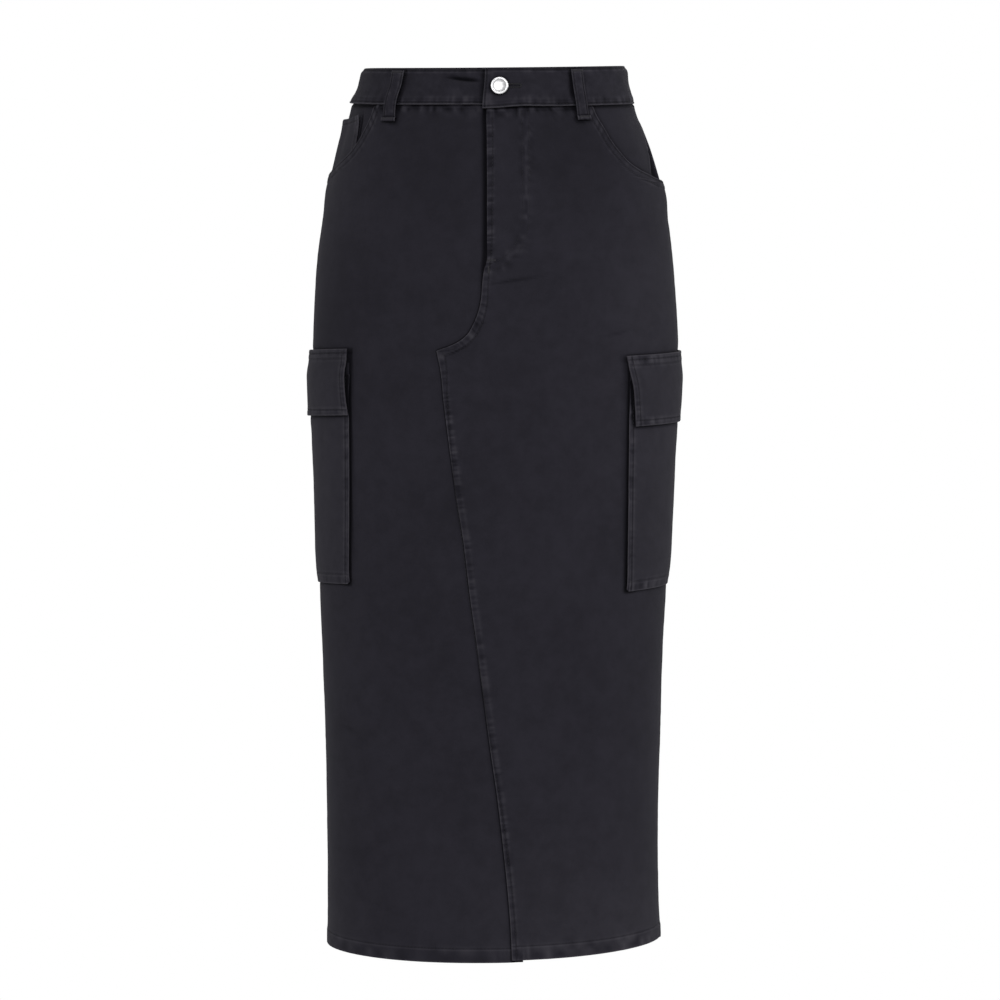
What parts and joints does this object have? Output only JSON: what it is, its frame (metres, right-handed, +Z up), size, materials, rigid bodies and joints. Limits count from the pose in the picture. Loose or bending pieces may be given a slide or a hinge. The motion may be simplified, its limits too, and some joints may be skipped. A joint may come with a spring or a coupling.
{
  "type": "cargo utility skirt",
  "caption": "Long straight cargo skirt in black cotton twill, filled out as worn, with flapped side pockets, belt loops, scooped hip pockets and a front that laps to the hem.",
  "frame": {"origin": "centre of the waist ring, at the middle of the waistband's height at the sides", "axes": "+Z up, -Y towards the wearer's front, +X towards the wearer's left"},
  "size_m": [0.3751, 0.2478, 0.8938],
  "materials": {
    "twill": "washed matt black cotton twill",
    "button_metal": "satin nickel tack button"
  },
  "bodies": {
    "root": {"waistband": "twill", "front_left_panel": "twill", "front_right_panel": "twill", "back_left_panel": "twill", "back_right_panel": "twill", "hip_facing_left": "twill", "hip_facing_right": "twill", "coin_pocket": "twill", "cargo_gusset_left": "twill", "cargo_gusset_right": "twill", "cargo_pocket_left": "twill", "cargo_pocket_right": "twill", "cargo_flap_left": "twill", "cargo_flap_right": "twill", "belt_loop_front_left": "twill", "belt_loop_front_right": "twill", "belt_loop_back_left": "twill", "belt_loop_back_right": "twill", "belt_loop_centre_back": "twill", "button": "button_metal"}
  },
  "joints": []
}
